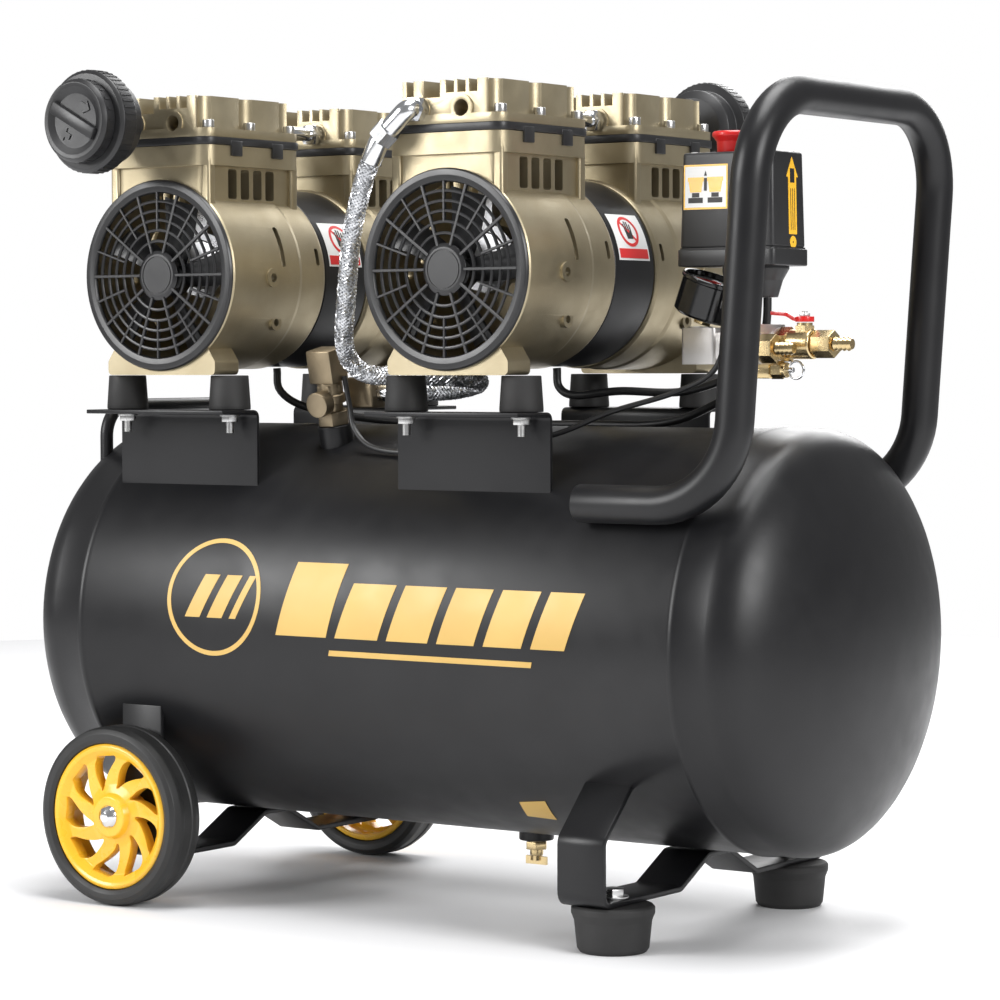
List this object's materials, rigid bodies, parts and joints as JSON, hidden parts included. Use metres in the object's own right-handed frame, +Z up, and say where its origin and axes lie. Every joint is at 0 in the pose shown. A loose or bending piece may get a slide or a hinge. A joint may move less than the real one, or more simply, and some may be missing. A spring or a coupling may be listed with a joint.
{
  "type": "portable air compressor",
  "caption": "Wheeled oil-free air compressor: a horizontal receiver tank with a push handle, carrying twin-cylinder piston pump units, a pressure switch, a gauge and outlet valves.",
  "frame": {"origin": "on the ground, under the middle of the tank", "axes": "+X runs along the tank to the end with the push handle, -Y is the operator's front side, +Z is up"},
  "size_m": [0.696, 0.42, 0.6195],
  "materials": {
    "black_paint": "satin black powder coat",
    "black_plastic": "moulded black plastic, fine grain",
    "rubber": "black rubber, matte",
    "tyre": "solid black tyre, matte",
    "gold_casting": "champagne gold paint over a fine cast texture",
    "yellow_plastic": "glossy warm yellow",
    "red_plastic": "glossy red",
    "chrome": "bright plated steel",
    "brass": "machined brass, light wear",
    "steel": "machined steel",
    "cast_metal": "plated casting with brass fittings",
    "braid": "woven stainless wire over a hose"
  },
  "bodies": {
    "machine": {"tank": "black_paint", "foot_strap": "black_paint", "axle_strap": "black_paint", "rubber_foot_front": "rubber", "rubber_foot_rear": "rubber", "axle_bolt_front": "chrome", "axle_bolt_rear": "chrome", "push_handle": "black_paint", "lift_handle": "black_paint", "pump_bracket_left_front": "black_paint", "pump_bracket_left_rear": "black_paint", "pump_bracket_right_front": "black_paint", "pump_bracket_right_rear": "black_paint", "crankcase_left_front": "gold_casting", "crankcase_left_rear": "gold_casting", "crankcase_right_front": "gold_casting", "crankcase_right_rear": "gold_casting", "head_left_front": "gold_casting", "head_left_rear": "gold_casting", "head_right_front": "gold_casting", "head_right_rear": "gold_casting", "fan_grille_left_front": "black_plastic", "fan_grille_left_rear": "black_plastic", "fan_grille_right_front": "black_plastic", "fan_grille_right_rear": "black_plastic", "stator_left": "black_paint", "stator_right": "black_paint", "outer_link_left": "chrome", "inner_link_left": "chrome", "outer_link_right": "chrome", "inner_link_right": "chrome", "filter_body_left": "black_plastic", "filter_body_right": "black_plastic", "check_valve": "brass", "discharge_hose_left": "braid", "discharge_hose_right": "braid", "manifold": "cast_metal", "gauge": "black_plastic", "pressure_switch": "black_plastic", "drain_valve": "brass", "motor_cable_left": "rubber", "motor_cable_right": "rubber", "unloader_tube": "rubber"},
    "wheel_front": {"tyre_front": "tyre", "rim_front": "yellow_plastic"},
    "wheel_rear": {"tyre_rear": "tyre", "rim_rear": "yellow_plastic"},
    "shaft_left": {"rotor_left": "steel"},
    "shaft_right": {"rotor_right": "steel"},
    "rod_left_front": {"piston_rod_left_front": "steel"},
    "rod_left_rear": {"piston_rod_left_rear": "steel"},
    "rod_right_front": {"piston_rod_right_front": "steel"},
    "rod_right_rear": {"piston_rod_right_rear": "steel"},
    "cap_left": {"filter_cap_left": "black_plastic"},
    "cap_right": {"filter_cap_right": "black_plastic"},
    "knob": {"switch_knob": "red_plastic"},
    "lever": {"valve_lever": "red_plastic"},
    "needle": {"gauge_needle": "black_plastic"},
    "ring": {"safety_ring": "chrome"},
    "wing": {"drain_wing": "brass"}
  },
  "joints": [
    {"name": "wheel_front_spin", "type": "hinge", "parent": "machine", "child": "wheel_front", "pos_m": [-0.219, -0.156, 0.067], "axis": [0, 1, 0], "continuous": true},
    {"name": "wheel_rear_spin", "type": "hinge", "parent": "machine", "child": "wheel_rear", "pos_m": [-0.219, 0.156, 0.067], "axis": [0, 1, 0], "continuous": true},
    {"name": "shaft_left_spin", "type": "hinge", "parent": "machine", "child": "shaft_left", "pos_m": [-0.192, 0, 0.47], "axis": [0, 1, 0], "continuous": true},
    {"name": "shaft_right_spin", "type": "hinge", "parent": "machine", "child": "shaft_right", "pos_m": [0.071, 0, 0.47], "axis": [0, 1, 0], "continuous": true},
    {"name": "rod_left_front_pivot", "type": "hinge", "parent": "shaft_left", "child": "rod_left_front", "pos_m": [-0.192, -0.0855, 0.479], "axis": [0, 1, 0], "continuous": true},
    {"name": "rod_left_rear_pivot", "type": "hinge", "parent": "shaft_left", "child": "rod_left_rear", "pos_m": [-0.192, 0.0855, 0.461], "axis": [0, 1, 0], "continuous": true},
    {"name": "rod_right_front_pivot", "type": "hinge", "parent": "shaft_right", "child": "rod_right_front", "pos_m": [0.071, -0.0855, 0.479], "axis": [0, 1, 0], "continuous": true},
    {"name": "rod_right_rear_pivot", "type": "hinge", "parent": "shaft_right", "child": "rod_right_rear", "pos_m": [0.071, 0.0855, 0.461], "axis": [0, 1, 0], "continuous": true},
    {"name": "cap_left_twist", "type": "hinge", "parent": "machine", "child": "cap_left", "pos_m": [-0.214, -0.203, 0.582], "axis": [0, -1, 0], "range_deg": [0, 45]},
    {"name": "cap_right_twist", "type": "hinge", "parent": "machine", "child": "cap_right", "pos_m": [0.086, 0.203, 0.582], "axis": [0, 1, 0], "range_deg": [0, 45]},
    {"name": "knob_pull", "type": "slide", "parent": "machine", "child": "knob", "axis": [0, 0, 1], "range_m": [0, 0.005]},
    {"name": "lever_turn", "type": "hinge", "parent": "machine", "child": "lever", "pos_m": [0.28, 0, 0.4323], "axis": [0, 0, 1], "range_deg": [0, 90]},
    {"name": "needle_sweep", "type": "hinge", "parent": "machine", "child": "needle", "pos_m": [0.2083, -0.004, 0.46], "axis": [0.342, 0, 0.9397], "range_deg": [-270, 0], "stiffness_Nm_per_rad": 0.002},
    {"name": "ring_pull", "type": "slide", "parent": "machine", "child": "ring", "axis": [1, 0, 0], "range_m": [0, 0.004], "stiffness_N_per_m": 300},
    {"name": "wing_turn", "type": "hinge", "parent": "machine", "child": "wing", "pos_m": [0.052, 0, 0.037], "axis": [0, 0, 1], "range_deg": [0, 180]}
  ],
  "couplings": [
    {"joint": "rod_left_front_pivot", "follows": "shaft_left_spin", "ratio": -1},
    {"joint": "rod_left_rear_pivot", "follows": "shaft_left_spin", "ratio": -1},
    {"joint": "rod_right_front_pivot", "follows": "shaft_right_spin", "ratio": -1},
    {"joint": "rod_right_rear_pivot", "follows": "shaft_right_spin", "ratio": -1}
  ]
}
